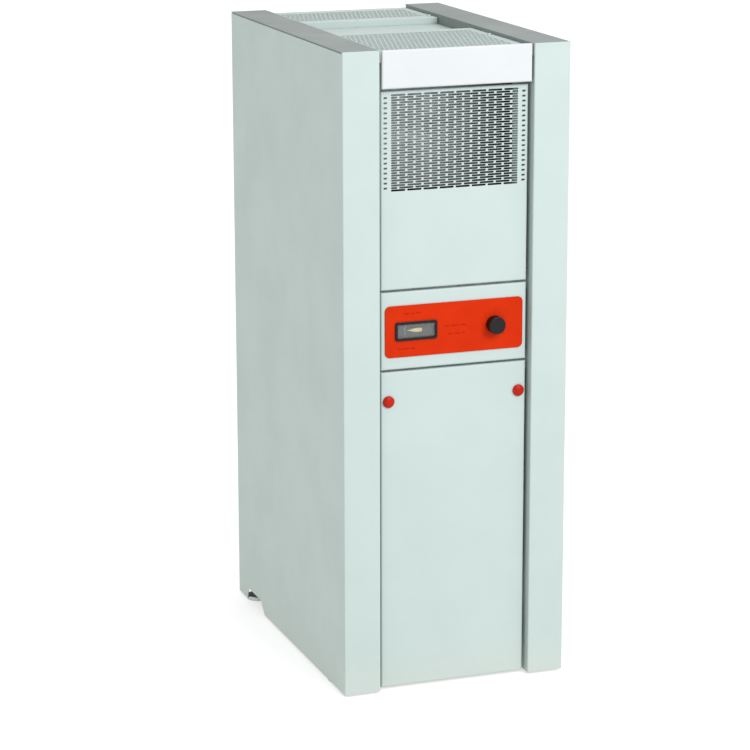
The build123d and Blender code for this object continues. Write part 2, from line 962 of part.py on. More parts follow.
def chamber_tray():
    # heat shield under the burner with the chamber's back wall folded up from it
    y0 = chamber_rear - chamber_wall
    floor = box(-chamber_inner, chamber_inner, chamber_front, chamber_rear, tray_bottom, tray_top)
    back = box(-chamber_inner, chamber_inner, y0, chamber_rear, tray_bottom, chamber_top - chamber_wall)
    return floor + back


def refractory_boards():
    y1 = chamber_rear - chamber_wall
    z1 = chamber_top - chamber_wall
    left = box(-chamber_inner, -board_inner, chamber_front, y1, tray_top, z1)
    rear = box(-board_inner, board_inner, board_front_of_rear, y1, tray_top, z1)
    return group([left, mirrored(left), rear])


def bar_places():
    return [(index - (bar_count - 1) / 2) * bar_pitch for index in range(bar_count)]


def burner_plate():
    plate = box(-chamber_half, chamber_half, plate_front, chamber_front, burner_plate_bottom, chamber_top)
    for x in bar_places():
        plate -= rod_y(x, bar_axis_height, plate_front - overcut, chamber_front + overcut, venturi_r)
    return plate


def burner_bar(x):
    # flat stainless tube with cross ports on top and a venturi through the plate
    length = board_front_of_rear - chamber_front
    outline = Rot(0, 0, 90) * SlotOverall(bar_height, bar_width)
    core = Rot(0, 0, 90) * SlotOverall(bar_height - 2 * bar_wall, bar_width - 2 * bar_wall)
    shell = Pos(0, board_front_of_rear, 0) * extrude(Plane.XZ * outline, length)
    hollow = Pos(0, board_front_of_rear - bar_wall, 0) * extrude(Plane.XZ * core, length - 2 * bar_wall)
    venturi = rod_y(0, 0, chamber_front - venturi_length, chamber_front, venturi_r)
    mouth_y = chamber_front - venturi_length
    cone_place = Pos(0, mouth_y + mouth_length / 2, 0) * Rot(-90, 0, 0)
    mouth = cone_place * Cone(mouth_r, venturi_r, mouth_length)
    bore_r = venturi_r - venturi_wall
    throat = rod_y(0, 0, mouth_y - overcut, chamber_front + bar_wall + overcut, bore_r)
    flare = cone_place * Cone(mouth_r - venturi_wall, bore_r, mouth_length)
    body = shell + venturi + mouth - hollow - throat - flare
    count = int((length - 2 * port_end_margin) / port_pitch) + 1
    top = bar_height / 2
    for index in range(count):
        y = chamber_front + port_end_margin + index * port_pitch
        body -= box(-port_length / 2, port_length / 2, y, y + port_width, top - port_depth, top + overcut)
    return Pos(x, 0, bar_axis_height) * body


def gas_manifold():
    z0 = bar_axis_height - manifold_size / 2
    z1 = bar_axis_height + manifold_size / 2
    wall = manifold_wall
    tube = box(-manifold_half, manifold_half, manifold_front, manifold_back, z0, z1)
    tube -= box(
        -manifold_half + wall, manifold_half - wall, manifold_front + wall, manifold_back - wall,
        z0 + wall, z1 - wall,
    )
    for side in (-1, 1):
        x0 = side * manifold_half
        x1 = side * (manifold_half + manifold_bracket)
        tube += box(min(x0, x1), max(x0, x1), manifold_front, plate_front, z0, z1)
    riser = rod_z(valve_centre_x, riser_y, valve_top, z0, riser_r)
    bore = rod_z(valve_centre_x, riser_y, valve_top - overcut, z0 + 2 * wall, riser_r - wall)
    body = tube + riser - bore
    port_start = manifold_back - wall - overcut
    for x in bar_places():
        body -= rod_y(x, bar_axis_height, port_start, manifold_back + overcut, injector_bore_r)
    return body


def injectors():
    pieces = []
    hex_end = manifold_back + injector_hex_length
    tip_end = hex_end + injector_tip_length
    for x in bar_places():
        nut = hex_y(x, bar_axis_height, manifold_back, hex_end, injector_flats)
        tip = rod_y(x, bar_axis_height, hex_end, tip_end, injector_tip_r)
        bore_end = tip_end - injector_end_wall
        core = rod_y(x, bar_axis_height, manifold_back - overcut, bore_end, injector_bore_r)
        orifice = rod_y(x, bar_axis_height, bore_end - overcut, tip_end + overcut, injector_orifice_r)
        pieces.append(nut + tip - core - orifice)
    return group(pieces)


def gas_valve():
    body = box(valve_left, valve_right, valve_front, valve_back, valve_bottom, valve_top)
    body = fillet(body.edges().filter_by(Axis.Y), valve_edge)
    body += rod_y(valve_knob_x, valve_control_z, valve_boss_front, valve_front, valve_boss_r)
    shaft_r = knob_shaft_r + running_clearance
    shaft_end = valve_front + valve_shaft_length
    body -= rod_y(valve_knob_x, valve_control_z, valve_boss_front - overcut, shaft_end, shaft_r)
    button_end = valve_front + button_seat + button_travel + body_gap
    bore_r = button_r + running_clearance
    body -= rod_y(button_x, valve_control_z, valve_front - overcut, button_end, bore_r)
    outlet_r = riser_r - manifold_wall
    body -= rod_z(valve_centre_x, riser_y, valve_top - line_bend, valve_top + overcut, outlet_r)
    inlet = Rot(0, 90, 0) * Cylinder(gas_pipe_r - gas_pipe_wall, valve_inlet_length)
    body -= Pos(valve_left, riser_y, gas_pipe_height) * inlet
    plug_x = valve_right - cable_plug_inset
    body -= rod_z(plug_x, cable_y, valve_top - line_bend, valve_top + overcut, cable_r)
    for step in (-1, 0, 1):
        body -= rod_y(step * pilot_pitch, pilot_line_height, pilot_port_end, valve_back + overcut, probe_r)
    return body


def valve_knob():
    back = valve_boss_front - body_gap
    front = back - valve_knob_height
    cap = rod_y(0, 0, front, back, valve_knob_r)
    cap = fillet(cap.faces().sort_by(Axis.Y)[0].edges(), valve_knob_edge)
    half = valve_grip_width / 2
    reach = valve_knob_r - valve_grip_end_gap
    cap += box(-half, half, front - valve_grip_height, front + valve_knob_edge, -reach, reach)
    shaft = rod_y(0, 0, back, valve_front + valve_shaft_length - body_gap, knob_shaft_r)
    return Pos(valve_knob_x, 0, valve_control_z) * (cap + shaft)


def pilot_button():
    front = valve_front - button_proud
    plunger = rod_y(button_x, valve_control_z, front, valve_front + button_seat, button_r)
    return fillet(plunger.faces().sort_by(Axis.Y)[0].edges(), valve_knob_edge)


def pilot_line(x, top, r):
    # straight riser turned forward under the burner plate to the back of the valve
    return pipe(
        [
            (x, pilot_y, top),
            (x, pilot_y, pilot_line_height),
            (x, pilot_port_end, pilot_line_height),
        ],
        line_bend,
        r,
    )


def pilot_burner():
    z0 = pilot_base
    z1 = z0 + pilot_sheet
    half = pilot_bracket_width / 2
    x = -pilot_pitch
    body = box(-half, half, chamber_front, chamber_front + pilot_bracket_depth, z0, z1)
    body += box(-half, half, chamber_front, chamber_front + pilot_sheet, z0, z0 + pilot_flag_height)
    body += rod_z(x, pilot_y, z0 - pilot_drop, z0 + pilot_top, pilot_r)
    body += pilot_line(x, z0, probe_r)
    body -= rod_z(0, pilot_y, z0 - overcut, z1 + overcut, probe_r)
    body -= rod_z(pilot_pitch, pilot_y, z0 - overcut, z1 + overcut, electrode_r)
    return body - rod_z(x, pilot_y, z0 + pilot_floor, z0 + pilot_top + overcut, pilot_r - pilot_wall)


def thermocouple():
    return pilot_line(0, pilot_base + probe_top, probe_r)


def ignition_electrode():
    x = pilot_pitch
    low = pilot_base - electrode_drop
    high = pilot_base + electrode_ceramic_top
    ceramic = rod_z(x, pilot_y, low, high, electrode_r)
    wire = rod_z(x, pilot_y, high - electrode_wire_r, pilot_base + electrode_tip, electrode_wire_r)
    return ceramic + wire + pilot_line(x, low + electrode_lap, probe_r)


def gas_pipe():
    end_y = cabinet_depth + pipe_stub
    step_y = end_y - gas_thread_length
    x = -gas_pipe_x
    points = [
        (valve_left, riser_y, gas_pipe_height),
        (x, riser_y, gas_pipe_height),
        (x, step_y, gas_pipe_height),
    ]
    bore_r = gas_pipe_r - gas_pipe_wall
    body = pipe(points, gas_pipe_bend, gas_pipe_r) - pipe(points, gas_pipe_bend, bore_r)
    thread = rod_y(x, gas_pipe_height, step_y, end_y, gas_thread_r)
    return body + (thread - rod_y(x, gas_pipe_height, step_y - overcut, end_y + overcut, bore_r))


# cast block

def section(index):
    # hollow slab with vertical fins and edge ribs in the flue passages
    first = index == 0
    last = index == section_count - 1
    y0 = block_front + index * section_pitch
    y1 = y0 + section_depth
    slab = box(-block_half, block_half, y0, y1, block_bottom, block_top)
    slab = fillet(slab.edges().filter_by(Axis.Y), section_corner)
    faces = []
    if not first:
        faces.append((y0 - section_gap / 2, y0, fin_gap / 2, 0))
    if not last:
        faces.append((y1, y1 + section_gap / 2, 0, fin_gap / 2))
    spacing = 2 * (block_half - cavity_side_wall) / (fin_count - 1)
    rib_low = block_bottom + rib_end_margin
    rib_high = block_top - rib_end_margin
    for low, high, trim_low, trim_high in faces:
        for side in (-1, 1):
            edges = sorted((side * block_half, side * (block_half - rib_width)))
            slab += box(edges[0], edges[1], low, high, rib_low, rib_high)
        for fin in range(fin_count):
            x = -block_half + cavity_side_wall + fin * spacing
            z0 = block_bottom + fin_end_margin
            z1 = block_top - fin_end_margin
            half = fin_thickness / 2
            slab += box(x - half, x + half, low + trim_low, high - trim_high, z0, z1)
    wall = section_wall
    hollow_half = block_half - cavity_side_wall
    hollow_low = block_bottom + cavity_end_wall
    hollow_high = block_top - cavity_end_wall
    slab -= box(-hollow_half, hollow_half, y0 + wall, y1 - wall, hollow_low, hollow_high)
    for z in (flow_z, return_z):
        if not first:
            slab -= rod_y(0, z, y0 - overcut, y0 + wall + overcut, port_r)
        if not last:
            slab -= rod_y(0, z, y1 - wall - overcut, y1 + overcut, port_r)
    if first:
        slab -= rod_y(0, flow_z, y0 - overcut, y0 + wall + overcut, pocket_tube_r)
    if last:
        for z in (flow_z, return_z):
            slab -= rod_y(0, z, y1 - wall - overcut, y1 + overcut, water_pipe_r)
    for x, z in tie_places():
        slab -= rod_y(x, z, y0 - section_gap, y1 + section_gap, tie_rod_r + tie_rod_clearance)
    return slab


def tie_places():
    x = block_half - tie_rod_inset_x
    low = block_bottom + tie_rod_inset_z
    high = block_top - tie_rod_inset_z
    return [(sx * x, z) for sx in (-1, 1) for z in (low, high)]


def section_nipples():
    rings = []
    for index in range(section_count - 1):
        gap_start = block_front + index * section_pitch + section_depth
        y0 = gap_start - section_wall
        y1 = gap_start + section_gap + section_wall
        for z in (flow_z, return_z):
            rings.append(tube_y(0, z, y0, y1, port_r, nipple_wall))
    return group(rings)


def tie_rods():
    rods = []
    for x, z in tie_places():
        rod = rod_y(x, z, block_front - tie_rod_overhang, block_rear + tie_rod_overhang, tie_rod_r)
        rod += hex_y(x, z, block_front - nut_height, block_front, nut_flats)
        rod += hex_y(x, z, block_rear, block_rear + nut_height, nut_flats)
        rods.append(rod)
    return group(rods)


def insulation_side():
    x0 = -block_half - insulation
    return box(x0, -block_half, jacket_front, jacket_rear, block_bottom, block_top)


def insulation_front():
    half = block_half + insulation
    board = box(-half, half, jacket_front - insulation, jacket_front, block_bottom, block_top)
    hole_r = pocket_neck_r + pocket_hole_clearance
    return board - rod_y(0, flow_z, jacket_front - insulation - overcut, jacket_front + overcut, hole_r)


def insulation_rear():
    half = block_half + insulation
    board = box(-half, half, jacket_rear, jacket_rear + insulation, block_bottom, block_top)
    for z in (flow_z, return_z):
        board -= rod_y(0, z, jacket_rear - overcut, jacket_rear + insulation + overcut, water_pipe_r)
    return board


def sensor_pocket():
    flange = rod_y(0, flow_z, block_front - pocket_flange_thickness, block_front, pocket_flange_r)
    neck = rod_y(0, flow_z, block_front - pocket_neck_length, block_front, pocket_neck_r)
    tube = rod_y(0, flow_z, block_front, block_front + pocket_depth, pocket_tube_r)
    bore_end = block_front + pocket_depth - pocket_end_wall
    bore = rod_y(0, flow_z, block_front - pocket_neck_length - overcut, bore_end, pocket_bore_r)
    return flange + neck + tube - bore


def water_pipe(z):
    start = block_rear - section_wall
    end = cabinet_depth + pipe_stub
    step_y = end - water_thread_length
    body = rod_y(0, z, start, step_y, water_pipe_r)
    body += rod_y(0, z, step_y, end, water_thread_r)
    return body - rod_y(0, z, start - overcut, end + overcut, water_pipe_r - water_pipe_wall)


# flue

def hood_shape(half_w0, half_d0, half_w1, half_d1, z0, z1, mid):
    low = Pos(0, mid, z0) * Rectangle(2 * half_w0, 2 * half_d0)
    high = Pos(0, mid, z1) * Rectangle(2 * half_w1, 2 * half_d1)
    return loft([low, high])


def flue_collector():
    wall = collector_wall
    mid = (block_front + block_rear) / 2
    half_w = block_half - wall
    half_d = (block_rear - block_front) / 2 - wall
    z1 = block_top + collector_height
    z2 = z1 + collector_throat_height
    outer = hood_shape(half_w, half_d, throat_half_width, throat_half_depth, block_top, z1, mid)
    inner = hood_shape(
        half_w - wall, half_d - wall, throat_half_width - wall, throat_half_depth - wall,
        block_top, z1, mid,
    )
    throat = box(
        -throat_half_width, throat_half_width, mid - throat_half_depth, mid + throat_half_depth, z1, z2
    )
    throat -= box(
        -throat_half_width + wall, throat_half_width - wall,
        mid - throat_half_depth + wall, mid + throat_half_depth - wall, z1 - overcut, z2 + overcut,
    )
    return outer - inner + throat


def draught_hood():
    # open-bottomed box over the throat: room air joins the flue gas under its edge
    wall = hood_wall
    shell = box(-hood_half, hood_half, hood_front, hood_rear, hood_low, hood_top)
    shell -= box(
        -hood_half + wall, hood_half - wall, hood_front + wall, hood_rear - wall,
        hood_low - overcut, hood_top - wall,
    )
    mid = (block_front + block_rear) / 2
    shelf_front = mid - throat_half_depth - hood_leg_width
    shelf_rear = mid + baffle_rear_reach
    shelf_z = hood_low + baffle_rise
    shell += box(-hood_half + wall, hood_half - wall, shelf_front, shelf_rear, shelf_z, shelf_z + wall)
    leg_rear = block_rear - hood_leg_width
    for side in (-1, 1):
        for y in (hood_front, leg_rear):
            edges = sorted((side * hood_half, side * (hood_half - wall)))
            shell += box(edges[0], edges[1], y, y + hood_leg_width, block_top, hood_low + 2 * wall)
    bore_r = spigot_r - spigot_wall
    shell -= rod_y(0, spigot_z, hood_rear - 2 * wall, hood_rear + overcut, bore_r)
    return shell


def flue_spigot():
    # flanged collar with a slightly reduced end for the flue pipe
    end = cabinet_depth + spigot_stub
    step_y = end - spigot_end_length
    tube = rod_y(0, spigot_z, hood_rear, step_y, spigot_body_r)
    tube += rod_y(0, spigot_z, step_y, end, spigot_r)
    tube += rod_y(0, spigot_z, hood_rear, hood_rear + spigot_wall, spigot_r + spigot_flange)
    return tube - rod_y(0, spigot_z, hood_rear - overcut, end + overcut, spigot_r - spigot_wall)


def cable_gland():
    start = rear_face - gland_nut
    outside = rear_face + sheet
    end = outside + gland_body
    inner = hex_y(gland_x, gland_height, start, rear_face, gland_flats)
    outer = hex_y(gland_x, gland_height, outside, outside + gland_nut, gland_flats)
    barrel = rod_y(gland_x, gland_height, rear_face, end, gland_r)
    bore = rod_y(gland_x, gland_height, start - overcut, end + overcut, gland_bore_r)
    return inner + outer + barrel - bore


def build():
    os.makedirs("parts", exist_ok=True)
    side = side_panel()
    write("side_panel_left", side)
    write("side_panel_right", mirrored(side))
    rail = top_rail()
    write("top_rail_left", rail)
    write("top_rail_right", mirrored(rail))
    write("rear_panel", rear_panel())
    write("header_bar", header_bar())
    write("top_front_grille", drilled_lid(front_lid_start, front_lid_end))
    write("top_rear_grille", drilled_lid(rear_lid_start, cabinet_depth - rear_lid_clearance))
    write("top_centre_tray", centre_tray())
    write("lid_screws", lid_screws())
    write("upper_front_panel", upper_front_panel())
    write("control_panel", control_panel())
    write("control_fascia", control_fascia())
    write("control_box", control_box())
    write("thermometer_housing", thermometer_housing())
    write("thermometer_window", thermometer_window())
    write("thermometer_dial", thermometer_dial())
    write("thermometer_pointer", thermometer_pointer())
    write("thermostat_body", thermostat_body())
    write("thermostat_knob", thermostat_knob())
    write("capillaries", capillaries())
    write("valve_cable", valve_cable())
    write("lower_door", lower_door())
    write("fastener_left", fastener(-fastener_x))
    write("fastener_right", fastener(fastener_x))
    write("door_catches", group([door_catch(-1), door_catch(1)]))
    write("base_frame", base_frame())
    write("levelling_feet", levelling_feet())
    write("foot_nuts", foot_nuts())
    write("front_crossbars", front_crossbars())
    chamber = chamber_side()
    write("chamber_side_left", chamber)
    write("chamber_side_right", mirrored(chamber))
    write("chamber_tray", chamber_tray())
    write("refractory_boards", refractory_boards())
    write("burner_plate", burner_plate())
    write("burner_bars", group(burner_bar(x) for x in bar_places()))
    write("gas_manifold", gas_manifold())
    write("injectors", injectors())
    write("gas_valve", gas_valve())
    write("valve_knob", valve_knob())
    write("pilot_button", pilot_button())
    write("pilot_burner", pilot_burner())
    write("thermocouple", thermocouple())
    write("ignition_electrode", ignition_electrode())
    write("gas_pipe", gas_pipe())
    write("section_front", section(0))
    write("sections_middle", group(section(index) for index in range(1, section_count - 1)))
    write("section_rear", section(section_count - 1))
    write("section_nipples", section_nipples())
    write("tie_rods", tie_rods())
    jacket = insulation_side()
    write("insulation_sides", group([jacket, mirrored(jacket)]))
    write("insulation_front", insulation_front())
    write("insulation_rear", insulation_rear())
    write("sensor_pocket", sensor_pocket())
    write("flow_pipe", water_pipe(flow_z))
    write("return_pipe", water_pipe(return_z))
    write("flue_collector", flue_collector())
    write("draught_hood", draught_hood())
    write("flue_spigot", flue_spigot())
    write("cable_gland", cable_gland())


build()
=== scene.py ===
import bpy
import json
import math
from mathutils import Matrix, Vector


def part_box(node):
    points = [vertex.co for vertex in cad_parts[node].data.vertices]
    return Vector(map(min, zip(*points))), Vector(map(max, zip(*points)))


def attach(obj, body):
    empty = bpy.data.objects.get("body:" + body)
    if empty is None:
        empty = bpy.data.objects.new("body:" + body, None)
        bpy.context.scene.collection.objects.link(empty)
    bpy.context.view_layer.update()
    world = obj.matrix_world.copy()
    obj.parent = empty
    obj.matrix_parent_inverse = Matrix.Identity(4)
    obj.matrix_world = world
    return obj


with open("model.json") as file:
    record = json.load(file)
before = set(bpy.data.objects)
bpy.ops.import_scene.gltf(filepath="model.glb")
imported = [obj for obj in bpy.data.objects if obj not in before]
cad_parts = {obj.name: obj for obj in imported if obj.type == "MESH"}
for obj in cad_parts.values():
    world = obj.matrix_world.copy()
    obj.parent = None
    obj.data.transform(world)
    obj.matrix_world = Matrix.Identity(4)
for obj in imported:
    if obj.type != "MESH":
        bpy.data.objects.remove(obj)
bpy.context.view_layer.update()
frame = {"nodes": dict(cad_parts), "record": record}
nodes = frame["nodes"]
mm = 0.001
print("frame loaded with", len(nodes), "nodes")


def toLinear(hexColour):
    parts = [int(hexColour[i:i + 2], 16) / 255 for i in (1, 3, 5)]
    return tuple(p / 12.92 if p <= 0.04045 else ((p + 0.055) / 1.055) ** 2.4 for p in parts) + (1.0,)


def addNode(tree, kind, inputs=None, **settings):
    node = tree.nodes.new(kind)
    for key, value in settings.items():
        setattr(node, key, value)
    for key, value in (inputs or {}).items():
        if isinstance(value, bpy.types.NodeSocket):
            tree.links.new(value, node.inputs[key])
        else:
            node.inputs[key].default_value = value
    return node


def startMaterial(name, look):
    material = bpy.data.materials.new(name)
    material.use_nodes = True
    tree = material.node_tree
    shader = tree.nodes["Principled BSDF"]
    shader.inputs["Base Color"].default_value = toLinear(look["colour"])
    shader.inputs["Roughness"].default_value = look["rough"]
    shader.inputs["Metallic"].default_value = look.get("metal", 0.0)
    shader.inputs["Specular IOR Level"].default_value = look.get("shine", 0.5)
    if not look.get("metal"):
        shader.inputs["IOR"].default_value = look.get("ior", 1.5)
    place = addNode(tree, "ShaderNodeTexCoord").outputs["Object"]
    return material, tree, shader, place


# how the clouding runs on every finish: where the two colours and the two gloss levels meet
clouding = {"detail": 5.0, "soft": 0.6, "colourFrom": 0.35, "colourTo": 0.65,
            "glossFrom": 0.3, "glossTo": 0.7}


def shadeColour(tree, shader, place, look):
    # slow drift between two near colours, with the gloss drifting along
    spots = addNode(tree, "ShaderNodeTexNoise", {
        "Vector": place, "Scale": 1 / (look["spotMm"] * mm),
        "Detail": clouding["detail"], "Roughness": clouding["soft"]})
    ramp = addNode(tree, "ShaderNodeValToRGB", {"Fac": spots.outputs["Fac"]})
    dark, light = ramp.color_ramp.elements
    dark.position = clouding["colourFrom"]
    dark.color = toLinear(look["colour2"])
    light.position = clouding["colourTo"]
    light.color = toLinear(look["colour"])
    gloss = addNode(tree, "ShaderNodeMapRange", {
        "Value": spots.outputs["Fac"], "From Min": clouding["glossFrom"], "From Max": clouding["glossTo"],
        "To Min": look["rough2"], "To Max": look["rough"]})
    tree.links.new(gloss.outputs["Result"], shader.inputs["Roughness"])
    tree.links.new(ramp.outputs["Color"], shader.inputs["Base Color"])
    return ramp


# relief of the grain, its height as a share of the grain size
relief = {"detail": 4.0, "soft": 0.55, "highShare": 0.4}


def surfaceGrain(tree, shader, place, look):
    # fine relief, at the real grain size or as coarse as it needs to be to show
    grain = look["grainMm"] * mm
    stretched = addNode(tree, "ShaderNodeMapping", {
        "Vector": place, "Scale": look.get("stretch", (1, 1, 1))})
    fine = addNode(tree, "ShaderNodeTexNoise", {
        "Vector": stretched.outputs["Vector"], "Scale": 1 / grain,
        "Detail": relief["detail"], "Roughness": relief["soft"]})
    bump = addNode(tree, "ShaderNodeBump", {
        "Height": fine.outputs["Fac"], "Strength": look["grainDepth"],
        "Distance": grain * relief["highShare"]})
    tree.links.new(bump.outputs["Normal"], shader.inputs["Normal"])


def layOver(tree, shader, under, share, colour):
    # a second colour over the first, by a share that the surface sets
    mixed = addNode(tree, "ShaderNodeMix", {"Factor": share}, data_type="RGBA")
    tree.links.new(under, mixed.inputs["A"])
    mixed.inputs["B"].default_value = toLinear(colour)
    tree.links.new(mixed.outputs["Result"], shader.inputs["Base Color"])


def makeFinish(name, look):
    material, tree, shader, place = startMaterial(name, look)
    shadeColour(tree, shader, place, look)
    surfaceGrain(tree, shader, place, look)
    return material


# polyester powder coat, baked on steel sheet: off-white, faint orange peel, soft satin reflections
powderCoatLook = {"colour": "#a7b6b1", "colour2": "#a4b3ae", "rough": 0.46, "rough2": 0.54, "shine": 0.35,
                  "spotMm": 90, "grainMm": 1.4, "grainDepth": 0.10,
                  "dust": "#b9b8a8", "dustHigh": 0.06, "dustShare": 0.22}


def powderCoat(name, look):
    material, tree, shader, place = startMaterial(name, look)
    ramp = shadeColour(tree, shader, place, look)
    surfaceGrain(tree, shader, place, look)
    height = addNode(tree, "ShaderNodeSeparateXYZ", {"Vector": place})
    dusty = addNode(tree, "ShaderNodeMapRange", {     # floor dust on the lowest edge
        "Value": height.outputs["Z"], "From Min": 0.0, "From Max": look["dustHigh"],
        "To Min": look["dustShare"], "To Max": 0.0})
    layOver(tree, shader, ramp.outputs["Color"], dusty.outputs["Result"], look["dust"])
    return material


# same coat on the header, a shade lighter as painted light from above
headerPaintedLightCoatLook = dict(powderCoatLook, colour="#b9bfbe", colour2="#b6bcbb")

# same coat on the top rails, made greyer as painted shade
railPaintedShadeCoatLook = dict(powderCoatLook, colour="#77807d", colour2="#727b78")

# injection-moulded ABS fascia: saturated orange, semi-gloss, very fine spark-eroded texture
fasciaLook = {"colour": "#b52904", "colour2": "#ae2503", "rough": 0.34, "rough2": 0.4, "shine": 0.05,
              "spotMm": 40, "grainMm": 0.6, "grainDepth": 0.12}

# black ABS mouldings: deep grey-black, matt grain that greys the highlights
blackAbsLook = {"colour": "#0f0b0c", "colour2": "#0b0809", "rough": 0.28, "rough2": 0.36, "shine": 0.25,
                "spotMm": 12, "grainMm": 0.5, "grainDepth": 0.25}

# red nylon caps: smooth and slightly waxy, light sinks a little way in
redNylonLook = {"colour": "#a81c08", "colour2": "#981604", "rough": 0.34, "rough2": 0.42, "shine": 0.12,
                "spotMm": 6, "grainMm": 0.8, "grainDepth": 0.08, "sinkShare": 0.15, "sinkMm": 1.5}

# acrylic window: clear, polished, with a faint grey veil that is painted glare
acrylicPaintedGlareLook = {"colour": "#9aa09f", "colour2": "#949a99", "rough": 0.05, "rough2": 0.08, "ior": 1.49,
               "spotMm": 30, "grainMm": 6, "grainDepth": 0.02, "clear": 0.16}

# printed card behind the window: mid grey, dead matt, paper tooth
dialCardLook = {"colour": "#403e3c", "colour2": "#3b3937", "rough": 0.8, "rough2": 0.88,
                "spotMm": 9, "grainMm": 0.4, "grainDepth": 0.2}

# painted pointer: pale yellow enamel on thin tinplate
pointerEnamelLook = {"colour": "#d8cf8c", "colour2": "#c2b673", "rough": 0.45, "rough2": 0.55,
                     "spotMm": 9, "grainMm": 0.6, "grainDepth": 0.1, "edge": "#4a422a", "bandMm": 2.6}

# screen-printed ink on the fascia
printInkLook = {"colour": "#98200a", "colour2": "#8e1c08", "rough": 0.5, "rough2": 0.6, "shine": 0.05,
                "spotMm": 3, "grainMm": 0.3, "grainDepth": 0.1}

# pale printed scale on the dial card
scaleInkLook = {"colour": "#a9a7a2", "colour2": "#9c9a95", "rough": 0.6, "rough2": 0.7,
                "spotMm": 3, "grainMm": 0.3, "grainDepth": 0.1}

# bright zinc plating on turned steel: pale blue-grey, fine turning marks
zincLook = {"colour": "#c3c7c9", "colour2": "#aab0b2", "rough": 0.28, "rough2": 0.42, "metal": 1.0,
            "spotMm": 3, "grainMm": 0.5, "grainDepth": 0.18, "stretch": (1, 1, 5)}

# ferritic stainless burner tube: rolled lengthways, straw and blue where the flames sit
burnerLook = {"colour": "#b0aca4", "colour2": "#9b978f", "rough": 0.3, "rough2": 0.42, "metal": 1.0,
              "spotMm": 18, "grainMm": 0.7, "grainDepth": 0.15, "stretch": (6, 0.3, 6),
              "tint": "#7d6a86", "tintShare": 0.75}

# grey cast iron from a sand mould: near black, gritty, brown bloom in the hollows
castIronLook = {"colour": "#3a3836", "colour2": "#4a3a30", "rough": 0.72, "rough2": 0.85, "metal": 0.35,
                "spotMm": 22, "grainMm": 2.2, "grainDepth": 0.6}

# turned brass: warm yellow, concentric tool marks
brassLook = {"colour": "#c9a45a", "colour2": "#b08a45", "rough": 0.25, "rough2": 0.38, "metal": 1.0,
             "spotMm": 4, "grainMm": 0.5, "grainDepth": 0.15, "stretch": (1, 5, 1)}

# drawn copper capillary: dull salmon with darker patches of oxide
copperLook = {"colour": "#b8704c", "colour2": "#8a4f38", "rough": 0.35, "rough2": 0.5, "metal": 1.0,
              "spotMm": 8, "grainMm": 0.5, "grainDepth": 0.1}

# die-cast aluminium valve body: flat silver skin, shot-blasted
dieCastLook = {"colour": "#b9bcbe", "colour2": "#a3a7a9", "rough": 0.48, "rough2": 0.6, "metal": 1.0,
               "spotMm": 10, "grainMm": 0.9, "grainDepth": 0.35}

# aluminised steel sheet: soft grey with a faint cloudy bloom
aluminisedLook = {"colour": "#a7aaab", "colour2": "#8f9394", "rough": 0.45, "rough2": 0.58, "metal": 1.0,
                  "spotMm": 25, "grainMm": 1.2, "grainDepth": 0.12}

# black-lacquered steel tube: thin glossy coat, slightly runny; the same black on the cross rails behind the
# panel gaps is painted shade
blackTubeAndShadeLook = {"colour": "#26272a", "colour2": "#303033", "rough": 0.32, "rough2": 0.45,
                 "spotMm": 15, "grainMm": 2.5, "grainDepth": 0.15}

# vacuum-formed ceramic fibre board: chalky off-white, felted skin
fibreBoardLook = {"colour": "#ded9cc", "colour2": "#cbc3b2", "rough": 0.9, "rough2": 0.96,
                  "spotMm": 14, "grainMm": 1.6, "grainDepth": 0.5, "stretch": (1, 1, 3)}

# foil-faced mineral wool: crinkled dull aluminium over a soft slab
foilWoolLook = {"colour": "#b9bab8", "colour2": "#a5a59c", "rough": 0.38, "rough2": 0.55, "metal": 0.85,
                "spotMm": 30, "grainMm": 9, "grainDepth": 0.7}

# PVC cable sheath: soft black, faint drag lines
sheathLook = {"colour": "#1f1f21", "colour2": "#2a2a2c", "rough": 0.45, "rough2": 0.55, "ior": 1.53,
              "spotMm": 6, "grainMm": 0.6, "grainDepth": 0.12}

# hot-dip galvanised sheet: cold grey, spangle of frost-like crystals each tilting the light
galvanisedLook = {"colour": "#9ea4a6", "colour2": "#8b9194", "rough": 0.34, "rough2": 0.55, "metal": 1.0,
                  "spangleMm": 9, "grainMm": 1.0, "grainDepth": 0.08}


def galvanised(name, look):
    material, tree, shader, place = startMaterial(name, look)
    crystals = addNode(tree, "ShaderNodeTexVoronoi", {
        "Vector": place, "Scale": 1 / (look["spangleMm"] * mm)})
    grey = addNode(tree, "ShaderNodeSeparateXYZ", {"Vector": crystals.outputs["Color"]})
    ramp = addNode(tree, "ShaderNodeValToRGB", {"Fac": grey.outputs["X"]})
    dark, light = ramp.color_ramp.elements
    dark.color = toLinear(look["colour2"])
    light.color = toLinear(look["colour"])
    tree.links.new(ramp.outputs["Color"], shader.inputs["Base Color"])
    gloss = addNode(tree, "ShaderNodeMapRange", {
        "Value": grey.outputs["Y"], "To Min": look["rough"], "To Max": look["rough2"]})
    tree.links.new(gloss.outputs["Result"], shader.inputs["Roughness"])
    surfaceGrain(tree, shader, place, look)
    return material


def burnerSteel(name, look):
    # heat colour grows from the middle of the tube to its top
    material, tree, shader, place = startMaterial(name, look)
    ramp = shadeColour(tree, shader, place, look)
    surfaceGrain(tree, shader, place, look)
    low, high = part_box("burner_bars")
    height = addNode(tree, "ShaderNodeSeparateXYZ", {"Vector": place})
    hot = addNode(tree, "ShaderNodeMapRange", {
        "Value": height.outputs["Z"], "From Min": (low[2] + high[2]) / 2, "From Max": high[2],
        "To Min": 0.0, "To Max": look["tintShare"]})
    layOver(tree, shader, ramp.outputs["Color"], hot.outputs["Result"], look["tint"])
    return material


def acrylic(name, look):
    material = makeFinish(name, look)
    # the window's grey base colour at this small opacity is painted glare over the dial card
    material.node_tree.nodes["Principled BSDF"].inputs["Alpha"].default_value = look["clear"]
    return material


